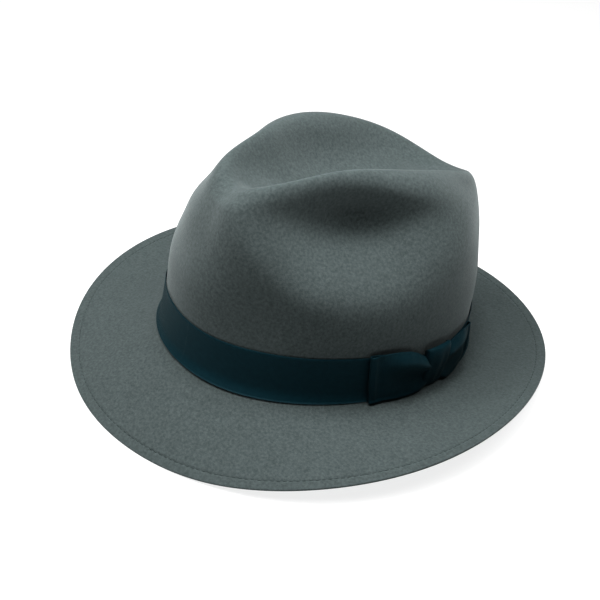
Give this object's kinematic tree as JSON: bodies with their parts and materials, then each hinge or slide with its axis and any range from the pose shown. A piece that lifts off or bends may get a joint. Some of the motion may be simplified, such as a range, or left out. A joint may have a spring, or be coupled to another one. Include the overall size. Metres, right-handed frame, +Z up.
{
  "type": "fedora hat",
  "caption": "Felt fedora with a creased teardrop crown, a snapped-down front brim and a flat ribbon bow, resting on its brim.",
  "frame": {"origin": "on the surface that the hat rests on, under the middle of its bounding box", "axes": "+Z up, -Y towards the front of the hat, +X towards the wearer's left, where the bow is"},
  "size_m": [0.2833, 0.3092, 0.139],
  "materials": {
    "felt": "matt brushed felt",
    "ribbon": "ribbed grosgrain with a slight sheen"
  },
  "bodies": {
    "root": {"felt_body": "felt", "ribbon_band": "ribbon", "bow_front_loop": "ribbon", "bow_knot": "ribbon", "bow_rear_loop": "ribbon"}
  },
  "joints": []
}
